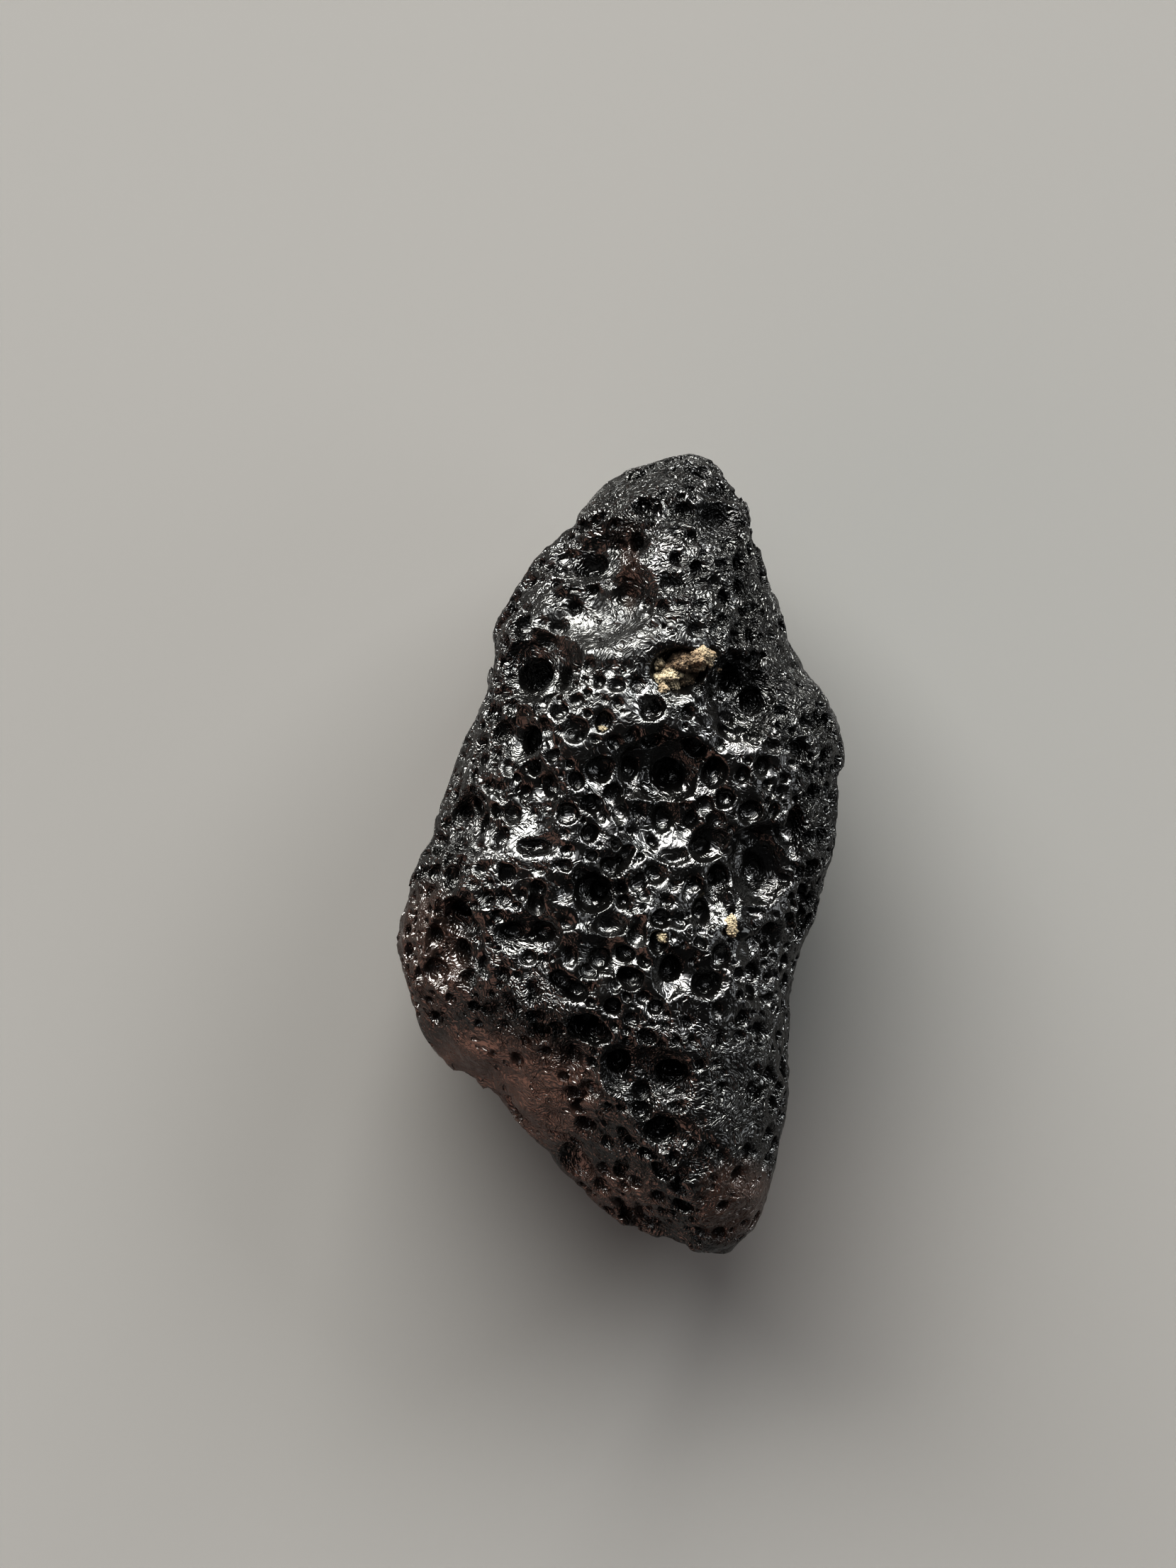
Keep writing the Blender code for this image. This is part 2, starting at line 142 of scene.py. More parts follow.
# %% A short way to write node trees
class Wire:
    """An output socket that can be used in a sum, and as the value of another node's socket."""

    def __init__(self, tree, socket):
        self.tree = tree
        self.socket = socket

    def other(self, name):
        """Another output of the same node."""
        return Wire(self.tree, self.socket.node.outputs[name])

    def sum_of(self, operation, first, second=0.0):
        return add(self.tree, "ShaderNodeMath", {"operation": operation}, {0: first, 1: second})

    def __add__(self, other):
        return self.sum_of("ADD", self, other)

    def __sub__(self, other):
        return self.sum_of("SUBTRACT", self, other)

    def __rsub__(self, other):
        return self.sum_of("SUBTRACT", other, self)

    def __mul__(self, other):
        return self.sum_of("MULTIPLY", self, other)

    def __truediv__(self, other):
        return self.sum_of("DIVIDE", self, other)

    def __rtruediv__(self, other):
        return self.sum_of("DIVIDE", other, self)

    def __pow__(self, other):
        return self.sum_of("POWER", self, other)

    def __abs__(self):
        return self.sum_of("ABSOLUTE", self)

    def least(self, other):
        return self.sum_of("MINIMUM", self, other)

    def with_vector(self, operation, other=(0.0, 0.0, 0.0)):
        return add(self.tree, "ShaderNodeVectorMath", {"operation": operation}, {0: self, 1: other})

    def scaled(self, factor):
        """This vector times a number."""
        return add(self.tree, "ShaderNodeVectorMath", {"operation": "SCALE"}, {0: self, "Scale": factor})

    def between(self, low, high, start=0.0, end=1.0):
        """Start below low, end above high, and a smooth ramp between them."""
        return add(self.tree, "ShaderNodeMapRange", {"interpolation_type": "SMOOTHSTEP"},
                   {"Value": self, "From Min": low, "From Max": high, "To Min": start, "To Max": end})


def add(tree, kind, settings=None, sockets=None, output=0):
    """Adds one node: its type, its settings, then the values or links of its sockets."""
    node = tree.nodes.new(kind)
    for name, value in (settings or {}).items():
        setattr(node, name, value)
    for name, value in (sockets or {}).items():
        if isinstance(value, Wire):
            tree.links.new(value.socket, node.inputs[name])
        else:
            node.inputs[name].default_value = value
    return Wire(tree, node.outputs[output])


def mixed(tree, share, first, second):
    """A colour between two, by a share."""
    return add(tree, "ShaderNodeMix", {"data_type": "RGBA"}, {"Factor": share, 6: first, 7: second}, 2)


def marked(tree, name):
    """The number that an attribute of the mesh holds here, in a shader."""
    return add(tree, "ShaderNodeAttribute", {"attribute_name": name}, {}, 2)


def random_between(tree, low, high, seed):
    """A random number for each point, or a random vector where low and high are vectors."""
    if isinstance(low, tuple):
        return add(tree, "FunctionNodeRandomValue", {"data_type": "FLOAT_VECTOR"},
                   {0: low, 1: high, "Seed": seed})
    return add(tree, "FunctionNodeRandomValue", {"data_type": "FLOAT"}, {2: low, 3: high, "Seed": seed}, 1)

# %% [markdown]
# The Geometry Nodes trees here start and end alike, so small functions carry that: one opens a
# tree with named inputs, one closes it in Realize Instances and Set Material, and one runs it on
# an object and keeps the result as a plain mesh. Two more fetch a shape and put copies of it.

# %% A short way to run Geometry Nodes
def open_tree(name, inputs):
    """A new tree with named inputs and a material. Gives the tree, and its inputs as wires by name."""
    tree = bpy.data.node_groups.new(name, "GeometryNodeTree")
    tree.interface.new_socket("Geometry", in_out="OUTPUT", socket_type="NodeSocketGeometry")
    inputs = {"Geometry": "Geometry", **inputs, "Material": "Material"}
    for label, kind in inputs.items():
        tree.interface.new_socket(label, in_out="INPUT", socket_type="NodeSocket" + kind)
    node = tree.nodes.new("NodeGroupInput")
    return tree, {label: Wire(tree, node.outputs[label]) for label in inputs}


def close_tree(tree, geometry, given):
    """Ends a tree in a plain mesh with its material."""
    real = add(tree, "GeometryNodeRealizeInstances", {}, {"Geometry": geometry})
    done = add(tree, "GeometryNodeSetMaterial", {}, {"Geometry": real, "Material": given["Material"]})
    tree.links.new(done.socket, tree.nodes.new("NodeGroupOutput").inputs[0])


def shape_of(given_object):
    """The mesh of an object that a tree is given."""
    return add(given_object.tree, "GeometryNodeObjectInfo", {}, {"Object": given_object}).other("Geometry")


def copies(points, shape, rotation, size):
    """A copy of the shape at each point."""
    return add(points.tree, "GeometryNodeInstanceOnPoints", {},
               {"Points": points, "Instance": shape, "Rotation": rotation, "Scale": size})


def keep_result(obj):
    """Makes what an object's modifiers give its own mesh, and takes the modifiers off."""
    bpy.context.view_layer.update()
    graph = bpy.context.evaluated_depsgraph_get()
    mesh = bpy.data.meshes.new_from_object(obj.evaluated_get(graph), depsgraph=graph)
    obj.modifiers.clear()
    obj.data = mesh
    return mesh


def run_tree(obj, tree, values):
    """Runs a tree on an object with the named values, and keeps the result."""
    modifier = obj.modifiers.new(tree.name, "NODES")
    modifier.node_group = tree
    for item in tree.interface.items_tree:
        if item.in_out == "INPUT" and item.name in values:
            modifier[item.identifier] = values[item.name]
    mesh = keep_result(obj)
    print(f"{tree.name}: {len(mesh.polygons)} faces")
    return mesh

# %% [markdown]
# The blank is the stone as it was before the soil etched it: a drop of glass, drawn out and a
# little bent. A sphere of even triangles is moved onto it in steps. The outline gives the reach in
# each direction, broad hollows and flattened flanks come next, and noise adds the unevenness of a
# thing that was never shaped. The steps and the numbers are those of the solid, so both agree.

# %% The blank of the stone
LENGTH, WIDTH = 21.0 * MM, 11.63 * MM
FRONT_HEIGHT, BACK_DEPTH = 4.45 * MM, 3.95 * MM
REST_CUT = 0.26 * MM
SIDE_ROUNDNESS = 0.84
RIM_SWAY = 0.30 * MM
SWAY_WAVES, SWAY_START = 2.0, 0.6  # how often the rim sways in a turn, and where it starts
LUMP_SIZE, LUMP_HEIGHT = 2.6 * MM, 0.16 * MM
LUMP_NOISE = (0.6, 2.0, 3)  # fade, gap and count of the noise's octaves
FACET_FLATNESS = 0.8
BLANK_SUBDIVISIONS = 8

# The outline seen from above, clockwise from the tip, from the middle of its box
OUTLINE = [
    (1.86, 10.50), (2.42, 10.30), (2.73, 10.02), (2.97, 9.63), (3.29, 9.46), (3.46, 8.99),
    (3.57, 8.38), (3.75, 7.73), (4.18, 6.62), (4.40, 5.65), (4.83, 4.85), (5.39, 4.29),
    (5.69, 3.74), (5.82, 2.16), (5.67, 1.19), (5.63, 0.30), (5.39, -0.63), (5.20, -1.56),
    (4.85, -2.55), (4.63, -3.70), (4.48, -5.00), (4.50, -5.65), (4.40, -6.76), (4.09, -8.16),
    (3.90, -8.99), (3.59, -9.83), (2.97, -10.43), (2.32, -10.50), (1.49, -10.20), (0.46, -9.83),
    (-0.46, -9.31), (-1.21, -8.53), (-1.86, -7.69), (-2.56, -7.14), (-3.16, -6.41), (-4.24, -5.69),
    (-4.98, -4.91), (-5.48, -3.98), (-5.72, -2.95), (-5.82, -2.12), (-5.67, -1.38), (-5.30, -0.26),
    (-4.83, 0.48), (-4.61, 1.51), (-4.33, 2.43), (-3.90, 3.36), (-3.53, 4.20), (-3.35, 5.13),
    (-3.16, 6.15), (-2.75, 6.99), (-2.04, 8.01), (-1.17, 8.75), (-0.56, 9.55), (0.28, 10.11),
    (1.12, 10.39),
]

# Broad soft hollows: x, y, across, along, deep; those with a negative depth are on the back
HOLLOWS = [
    (1.50, 0.40, 6.4, 5.4, 0.50), (-0.60, 7.75, 3.0, 2.0, 0.50), (-0.55, 6.00, 3.2, 2.0, 0.30),
    (-2.00, 4.70, 2.8, 2.2, 0.40), (-3.90, 0.90, 2.2, 2.0, 0.30), (0.90, 2.20, 5.0, 2.4, 0.40),
    (-4.30, -2.30, 2.4, 2.2, 0.35), (2.70, 8.50, 1.8, 1.4, 0.30), (3.60, -0.40, 3.4, 3.0, 0.40),
    (0.90, -5.60, 3.8, 1.8, 0.30), (2.80, 3.90, 2.4, 2.6, 0.35), (3.20, -2.10, 3.0, 1.6, 0.30),
    (-1.80, 5.80, 4.4, 5.0, -0.60), (2.70, -3.60, 4.6, 5.4, -0.70), (-2.90, -4.40, 4.0, 3.6, -0.45),
    (2.60, 4.60, 4.2, 4.0, -0.50),
]

# Flattened flanks: the direction each one faces, and its distance from the middle
FACETS = [
    ((-0.516, -0.567, 0.643), 5.75), ((-0.62, 0.55, 0.56), 6.15), ((0.86, -0.10, 0.50), 5.35),
    ((0.15, -0.74, -0.66), 8.10), ((-0.70, 0.20, -0.69), 4.75), ((0.66, 0.42, -0.62), 5.75),
]


def ball_object(name, subdivisions):
    """A unit ball of even triangles."""
    bpy.ops.mesh.primitive_ico_sphere_add(subdivisions=subdivisions, radius=1)
    ball = bpy.context.object
    ball.name = name
    return ball


def read_points(mesh):
    """The places of a mesh's vertices, one in each row."""
    points = np.empty(len(mesh.vertices) * 3)
    mesh.vertices.foreach_get("co", points)
    return points.reshape(-1, 3)


def write_points(mesh, points):
    """Moves a mesh's vertices to the places in the rows."""
    mesh.vertices.foreach_set("co", points.ravel())
    mesh.update()


def skin_points(directions):
    """Puts unit directions on the skin of the body, which is centred on the origin here."""
    angle = np.arctan2(directions[:, 1], directions[:, 0])
    lift = np.arcsin(np.clip(directions[:, 2], -1.0, 1.0))
    drawn = np.array(OUTLINE) * MM
    drawn_angle = np.arctan2(drawn[:, 1], drawn[:, 0])
    radius = np.interp(angle, drawn_angle, np.hypot(drawn[:, 0], drawn[:, 1]), period=math.tau)
    reach = np.cos(lift) ** SIDE_ROUNDNESS * radius
    rise = np.sign(lift) * np.abs(np.sin(lift)) ** SIDE_ROUNDNESS
    height = rise * np.where(lift > 0, FRONT_HEIGHT, BACK_DEPTH)
    return np.stack([reach * np.cos(angle), reach * np.sin(angle), height], axis=1)


def sink_hollows(points):
    """Lowers the front, or raises the back, smoothly over each broad hollow."""
    for x, y, across, along, deep in HOLLOWS:
        from_middle = ((points[:, 0] - x * MM) / (across * MM / 2)) ** 2
        from_middle += ((points[:, 1] - y * MM) / (along * MM / 2)) ** 2
        bowl = np.clip(1.0 - from_middle, 0.0, None) ** 2 * deep * MM
        points[:, 2] -= np.where(points[:, 2] * deep > 0, bowl, 0.0)


def press_facets(points):
    """Pushes what stands past each flank's plane back towards that plane."""
    for facing, distance in FACETS:
        facing = np.array(facing) / np.linalg.norm(facing)
        past = np.clip(points @ facing - distance * MM, 0.0, None)
        points -= np.outer(past * FACET_FLATNESS, facing)


def raise_lumps(points):
    """Adds the gentle unevenness of a piece of glass that was never shaped."""
    outward = points / np.linalg.norm(points, axis=1, keepdims=True)
    heights = [noise.fractal(Vector(point) / LUMP_SIZE, *LUMP_NOISE) for point in points]
    points += outward * np.array(heights)[:, None] * LUMP_HEIGHT


def stone_blank():
    """The stone before its cups, resting a little below the floor where it is worn flat."""
    blank = ball_object("stone", BLANK_SUBDIVISIONS)
    directions = read_points(blank.data)
    points = skin_points(directions / np.linalg.norm(directions, axis=1, keepdims=True))
    sink_hollows(points)
    press_facets(points)
    raise_lumps(points)
    around = np.arctan2(points[:, 1], points[:, 0])
    level = np.clip(1.0 - np.abs(points[:, 2]) / BACK_DEPTH, 0.0, 1.0)
    points[:, 2] += RIM_SWAY * np.sin(SWAY_WAVES * around + SWAY_START) * level
    points[:, 2] -= points[:, 2].min() + REST_CUT
    for axis, size in ((0, WIDTH), (1, LENGTH)):
        low, high = points[:, axis].min(), points[:, axis].max()
        points[:, axis] = (points[:, axis] - (low + high) / 2) * size / (high - low)
    write_points(blank.data, points)
    return blank


stone = stone_blank()
print("blank:", len(stone.data.polygons), "faces, top at",
      round(read_points(stone.data)[:, 2].max() / MM, 2), "mm")

# %% [markdown]
# On the real stone, acid water in the ground ate round pits into the glass, the largest about a
# millimetre across. The places of the larger ones on the front are read off the photograph, as
# seen from the camera, so each one is put where its line of sight meets the blank. Nobody has
# seen the back of this stone, so its pits are strewn by a seeded dice. Each pit is an ellipsoid
# with its deep axis along the skin's normal, and a deep pit is two: a flared lip and a throat.

# %% Where the pits are
# Wide dishes of the front, in hundredths of a millimetre: x, y, across, along, deep. The last number
# is how many degrees each floor leans to the tip. A leaning floor catches the light and leaves a
# dark undercut above it, as on a flight of steps.
FRONT_DISHES = [
    (-60, 770, 290, 150, 50, 24), (-60, 605, 310, 210, 44, 31), (-195, 472, 230, 200, 50, 22),
    (-385, 85, 170, 150, 28, 10), (95, 230, 260, 150, 40, 14), (-435, -245, 190, 170, 32, 0),
    (315, 425, 190, 190, 42, 10), (260, 845, 150, 110, 26, 18), (355, -10, 210, 200, 45, 10),
    (-35, -145, 200, 160, 38, 14), (-245, -220, 190, 130, 34, 14), (190, -315, 230, 140, 36, 14),
    (75, -565, 260, 120, 32, 14), (115, 60, 220, 160, 32, 14), (-250, 100, 180, 240, 26, 10),
    (130, -740, 170, 130, 26, 10), (370, -320, 160, 200, 28, 6), (-90, -560, 180, 190, 28, 6),
    (-260, 705, 150, 100, 26, 20), (100, 890, 160, 110, 20, 16), (-260, 320, 140, 130, 26, 16),
    (255, -155, 210, 110, 26, 20), (-25, -275, 190, 120, 28, 18), (190, -830, 130, 110, 20, 10),
]

# Pits of the front, in hundredths of a millimetre: x, y, across, along, deep
FRONT_PITS = [
    # Tip and upper left
    (-74, 760, 108, 82, 66), (-158, 751, 56, 52, 16), (-9, 807, 71, 56, 19), (43, 818, 45, 45, 13),
    (-117, 821, 56, 33, 13), (13, 684, 82, 56, 28), (93, 903, 41, 48, 13), (247, 1013, 30, 26, 8),
    (236, 937, 48, 45, 8), (255, 881, 115, 63, 26), (286, 825, 63, 48, 23), (145, 777, 37, 41, 27),
    (134, 710, 78, 63, 21), (247, 714, 48, 56, 22), (210, 717, 48, 37, 13), (108, 649, 48, 48, 20),
    (158, 658, 48, 26, 11), (210, 656, 52, 26, 11), (331, 749, 30, 45, 11), (355, 688, 56, 37, 8),
    # Below the tip
    (-247, 645, 56, 26, 11), (-115, 649, 45, 48, 19), (-158, 598, 71, 48, 18), (-186, 554, 48, 41, 13),
    (-69, 546, 52, 33, 8), (-30, 552, 41, 33, 7), (-225, 474, 119, 108, 79), (-147, 466, 48, 97, 48),
    (-119, 487, 45, 41, 13), (-82, 496, 41, 45, 18), (-30, 487, 45, 52, 9), (17, 492, 33, 37, 6),
    (-9, 444, 52, 45, 20), (45, 446, 52, 48, 21), (82, 383, 78, 74, 32), (-269, 405, 45, 33, 12),
    (-115, 403, 48, 45, 14), (-238, 301, 89, 89, 62), (-117, 323, 52, 45, 14), (-13, 295, 52, 48, 15),
    (33, 308, 48, 63, 23), (-294, 232, 48, 63, 17), (-227, 229, 52, 52, 22), (-162, 294, 26, 30, 8),
    (80, 598, 56, 26, 11), (199, 589, 48, 45, 14), (249, 595, 37, 33, 11), (249, 528, 41, 63, 21),
    (294, 522, 33, 33, 10),
    # Cluster right of the soil
    (344, 407, 82, 100, 63), (288, 461, 85, 82, 59), (353, 466, 33, 33, 10), (210, 435, 59, 48, 23),
    (180, 372, 48, 48, 20), (284, 327, 59, 63, 26), (348, 316, 63, 52, 17), (262, 286, 33, 48, 12),
    (403, 282, 74, 52, 26), (452, 294, 33, 26, 9), (444, 359, 24, 24, 7), (474, 353, 22, 37, 5),
    (91, 409, 33, 37, 6),
    # Left side
    (-348, 182, 45, 45, 13), (-413, 112, 37, 37, 11), (-420, 67, 41, 26, 10), (-284, 104, 52, 67, 25),
    (-249, 162, 45, 45, 19), (-227, 26, 123, 56, 35), (-368, -39, 46, 46, 20), (-385, -76, 41, 30, 10),
    (-468, -59, 52, 45, 9), (-465, -95, 30, 22, 5), (-210, -43, 41, 26, 10), (-348, -117, 46, 59, 22),
    (-305, -112, 50, 59, 23), (-219, -93, 63, 56, 25), (-143, 11, 59, 41, 21), (-431, -167, 56, 71, 44),
    (-479, -212, 46, 56, 36), (-416, -253, 67, 78, 51), (-377, -225, 37, 37, 16),
    (-472, -346, 56, 52, 23), (-518, -277, 37, 30, 6), (-522, -232, 26, 26, 5), (-461, -401, 33, 33, 6),
    (-279, -204, 78, 56, 28), (-203, -201, 82, 74, 33), (-234, -216, 41, 37, 12),
    (-243, -269, 52, 52, 16), (-308, -316, 41, 52, 19), (-229, -364, 45, 89, 26),
    (-295, -381, 33, 45, 12), (-249, -489, 32, 41, 11), (-197, -496, 41, 26, 10),
    (-271, -539, 41, 52, 32), (-186, -626, 20, 37, 5),
    # Middle
    (125, 212, 112, 100, 44), (195, 277, 71, 74, 51), (84, 294, 59, 67, 26), (-50, 223, 93, 89, 38),
    (24, 227, 59, 78, 29), (242, 216, 89, 100, 40), (322, 210, 52, 59, 17), (110, 91, 63, 89, 32),
    (4, 108, 63, 74, 29), (-50, 104, 43, 48, 14), (52, 110, 41, 37, 12), (-85, 41, 26, 26, 5),
    (-52, 48, 41, 33, 7), (-11, 59, 30, 26, 5), (-93, -2, 30, 30, 5), (-46, 0, 33, 30, 6),
    (4, -13, 37, 37, 11), (93, -52, 67, 59, 26), (143, -2, 97, 59, 32), (125, -121, 59, 41, 15),
    (139, -82, 37, 30, 10), (232, 26, 89, 85, 37), (344, 112, 82, 78, 34), (348, 41, 89, 59, 31),
    (468, 71, 104, 104, 44), (355, -43, 85, 115, 42), (262, -58, 71, 93, 57), (429, -63, 63, 41, 15),
    (-143, -97, 59, 85, 30), (-61, -97, 74, 85, 33), (0, -85, 52, 52, 22), (-30, -182, 108, 78, 39),
    (50, -175, 50, 52, 15), (-141, -180, 63, 48, 17), (-132, -271, 52, 74, 26),
    # Lower half
    (26, -322, 46, 67, 39), (132, -299, 74, 89, 57), (229, -333, 97, 85, 64), (61, -374, 50, 48, 21),
    (-76, -351, 41, 48, 13), (-98, -457, 78, 71, 52), (-125, -524, 50, 67, 24), (-4, -545, 74, 93, 58),
    (130, -571, 108, 85, 67), (-80, -621, 89, 71, 24), (177, -437, 48, 37, 18), (117, -420, 33, 30, 9),
    (322, -429, 56, 52, 38), (314, -474, 48, 37, 13), (255, -407, 37, 52, 13), (260, -487, 33, 52, 13),
    (217, -195, 59, 48, 23), (348, -151, 85, 45, 26), (349, -234, 78, 52, 27), (403, -236, 30, 33, 9),
    (444, -191, 35, 37, 25), (431, -284, 71, 59, 45), (444, -346, 30, 48, 11), (106, -723, 100, 85, 65),
    (145, -662, 63, 45, 16), (-167, -736, 82, 30, 15), (-115, -758, 52, 33, 13),
    (-33, -755, 46, 46, 14), (6, -728, 46, 45, 14), (-43, -829, 45, 63, 16), (4, -818, 46, 48, 14),
    (11, -872, 45, 45, 13), (30, -901, 35, 33, 6), (180, -987, 41, 32, 11), (102, -972, 28, 17, 4),
    (245, -853, 32, 33, 10), (269, -792, 35, 52, 13), (269, -611, 37, 41, 12), (355, -565, 33, 52, 13),
    (93, -859, 28, 17, 4),
]

# The pit that holds the soil, as the pits above
SOIL_PIT = (157, 486, 185, 140, 80)

# Pits on the sides and the back, which follow no drawing: how many, least and most width, least
# and most depth as a share of the width, and the least distance between two
BACK_DISHES = (16, (1.5, 2.6), (0.14, 0.2), 2.1)
BACK_PITS = (58, (0.5, 1.15), (0.35, 0.65), 0.95)
BACK_STRETCH = (0.75, 1.2)  # length of a pit there, as a share of its width
TRIES_FOR_EACH = 40
REST_CLEARING = 0.7 * MM
HIGHEST_STREWN = 0.25  # the steepest direction from the middle that still counts as the side
PIT_LEAN = 0.12  # how far a pit leans at random from the way its skin faces
# All but the shallowest pits have a flared lip round a deep throat. Shares of the pit's width
LIPPED_FROM, LIP_WIDER, LIP_DEPTH, THROAT, THROAT_DEPTH = 0.2, 1.08, 0.13, 0.86, 0.52
MOST_RAISED = 0.7  # how far a shallow pit's ball is raised, as a share of its depth axis
SEED = 7


def skin_tree(obj):
    """A tree of an object's faces, which finds where a line meets them."""
    mesh = obj.data
    return BVHTree.FromPolygons([v.co for v in mesh.vertices], [p.vertices for p in mesh.polygons])


def seen_at(skin, x, y):
    """Where the line of sight through a point of the outline's level meets the skin."""
    way = Vector((x * MM, y * MM, OUTLINE_LEVEL)) - EYE
    place, facing, _, _ = skin.ray_cast(EYE, way.normalized())
    nearer = (place - EYE).length / way.length
    return place, facing, nearer


def pit_ball(place, facing, across, along, deep):
    """A pit's ellipsoid as its middle, its rotation and its half axes."""
    share = min(max(1.0 - 2.0 * deep / max(across, along), 0.0), MOST_RAISED)
    depth_axis = deep / (1.0 - share)
    widen = 1.0 / math.sqrt(1.0 - share ** 2)
    rotation = Vector((0, 0, 1)).rotation_difference(facing)
    half = (widen * across / 2, widen * along / 2, depth_axis)
    return place + facing * depth_axis * share, rotation, half


def front_dishes(skin):
    """The dishes of the front, each with its floor leaning towards the tip."""
    balls = []
    for *lengths, lean in FRONT_DISHES:
        x, y, across, along, deep = (length / 100 for length in lengths)
        place, facing, nearer = seen_at(skin, x, y)
        leaning = Quaternion((1, 0, 0), -math.radians(lean)) @ facing
        across, along, deep = (length * MM * nearer for length in (across, along, deep))
        balls.append(pit_ball(place, leaning, across, along, deep))
    return balls


def front_pits(skin, broad_skin):
    """The pits of the front, and the pit with the soil. Each faces about as the skin round it does."""
    dice = random.Random(SEED)
    balls = []
    for pit in FRONT_PITS + [SOIL_PIT]:
        x, y, across, along, deep = (length / 100 for length in pit)
        place, facing, nearer = seen_at(skin, x, y)
        _, broad, _ = seen_at(broad_skin, x, y)
        facing = facing + broad + Vector((dice.gauss(0, 1), dice.gauss(0, 1), 0)) * PIT_LEAN
        facing.normalize()
        across, along, deep = (length * MM * nearer for length in (across, along, deep))
        widest = max(across, along)
        if deep > LIPPED_FROM * widest:
            lip = (across * LIP_WIDER, along * LIP_WIDER, widest * LIP_DEPTH)
            balls.append(pit_ball(place, facing, *lip))
            deep = max(deep, min(across, along) * THROAT_DEPTH)
            across, along = across * THROAT, along * THROAT
        balls.append(pit_ball(place, facing, across, along, deep))
    return balls


def strewn_balls(skin, seed, count, widths, depths, spacing):
    """Pits at seeded random places on the sides and the back, kept off the resting spot."""
    dice = random.Random(seed)
    middle = Vector((0, 0, BACK_DEPTH))
    placed, balls = [], []
    for _ in range(count * TRIES_FOR_EACH):
        if len(placed) == count:
            break
        way = Vector((dice.gauss(0, 1), dice.gauss(0, 1), dice.gauss(0, 1))).normalized()
        way.y *= LENGTH / WIDTH
        if way.z > HIGHEST_STREWN:
            continue
        outside = middle + way.normalized() * LENGTH
        place, facing, _, _ = skin.ray_cast(outside, middle - outside)
        reach = REST_CLEARING + widths[0] * MM
        near_rest = math.hypot(place.x, place.y) < reach and place.z < BACK_DEPTH / 2
        if near_rest or any((place - other).length < spacing * MM for other in placed):
            continue
        across = dice.uniform(*widths) * MM
        along = across * dice.uniform(*BACK_STRETCH)
        balls.append(pit_ball(place, facing, across, along, across * dice.uniform(*depths)))
        placed.append(place)
    return balls


print("pits read off the photograph:", len(FRONT_PITS) + 1, "and dishes:", len(FRONT_DISHES))

# %% [markdown]
# Cutting hundreds of pits one by one would take minutes. A point cloud that carries each ball's
# rotation and size lets Geometry Nodes put all the balls at once, and one Boolean with the Manifold
# solver cuts them together in seconds. The dishes come first, and the pits sit on the dished skin.

# %% Cut the pits
def ball_places(name, balls):
    """A mesh of loose points, one for each ball, with its rotation and size as attributes."""
    mesh = bpy.data.meshes.new(name)
    mesh.from_pydata([middle for middle, _, _ in balls], [], [])
    turns = mesh.attributes.new("turn", "QUATERNION", "POINT")
    turns.data.foreach_set("value", [part for _, turn, _ in balls for part in turn])
    sizes = mesh.attributes.new("size", "FLOAT_VECTOR", "POINT")
    sizes.data.foreach_set("vector", [part for _, _, size in balls for part in size])
    places = bpy.data.objects.new(name, mesh)
    bpy.context.scene.collection.objects.link(places)
    return places


def carve(geometry, balls):
    """The geometry less the balls."""
    return add(geometry.tree, "GeometryNodeMeshBoolean", {"operation": "DIFFERENCE", "solver": "MANIFOLD"},
               {0: geometry, 1: balls})


def placed_pits_tree():
    """Cuts one ball at each point of another object, by that object's attributes."""
    tree, given = open_tree("Placed pits", {"Places": "Object", "Ball": "Object"})
    turn = add(tree, "GeometryNodeInputNamedAttribute", {"data_type": "QUATERNION"}, {"Name": "turn"})
    size = add(tree, "GeometryNodeInputNamedAttribute", {"data_type": "FLOAT_VECTOR"}, {"Name": "size"})
    balls = copies(shape_of(given["Places"]), shape_of(given["Ball"]), turn, size)
    close_tree(tree, carve(given["Geometry"], balls), given)
    return tree


def cut_balls(balls):
    """Cuts a list of pits into the stone in one go."""
    places = ball_places("pit_places", balls)
    run_tree(stone, pits_tree, {"Places": places, "Ball": pit_shape, "Material": glass})
    bpy.data.objects.remove(places)


glass = bpy.data.materials.new("black_glass")
pit_shape, cup_shape = ball_object("pit_ball", 4), ball_object("cup_ball", 3)
pits_tree = placed_pits_tree()
blank_skin = skin_tree(stone)
cut_balls(front_dishes(blank_skin) + strewn_balls(blank_skin, SEED, *BACK_DISHES))
dished_skin = skin_tree(stone)
pits = front_pits(dished_skin, blank_skin) + strewn_balls(dished_skin, SEED + 1, *BACK_PITS)
cut_balls(pits)
print("pits:", len(pits))

# %% [markdown]
# Between the pits the skin is all small cups that share their walls, like dried foam. They cover
# the hollows densely and the exposed flanks hardly at all. Each cup is black inside, and its lip
# flares and catches the light as a thin crescent. So points are strewn over the skin with a least
# distance between them, and two balls are put at each: a wide one raised high, which only grazes
# the skin and makes the lip, and a smaller one that goes in deep. The cups come in three layers,
# large ones first, and an attribute of the skin says how densely they cover each place.

# %% Strew the small cups
LIP_RAISED = (0.66, 0.84)  # how far a lip's ball is raised, as a share of its radius
THROAT_SUNK = -0.40  # how far a throat's ball is lifted off the skin, as a share of the cup's half width
CUP_STRETCH = (0.82, 0.82, 0.9), (1.2, 1.2, 1.1)
CUP_TILT = 0.25
CUP_PACKING = 2.0  # points that are tried in a square as wide as the spacing

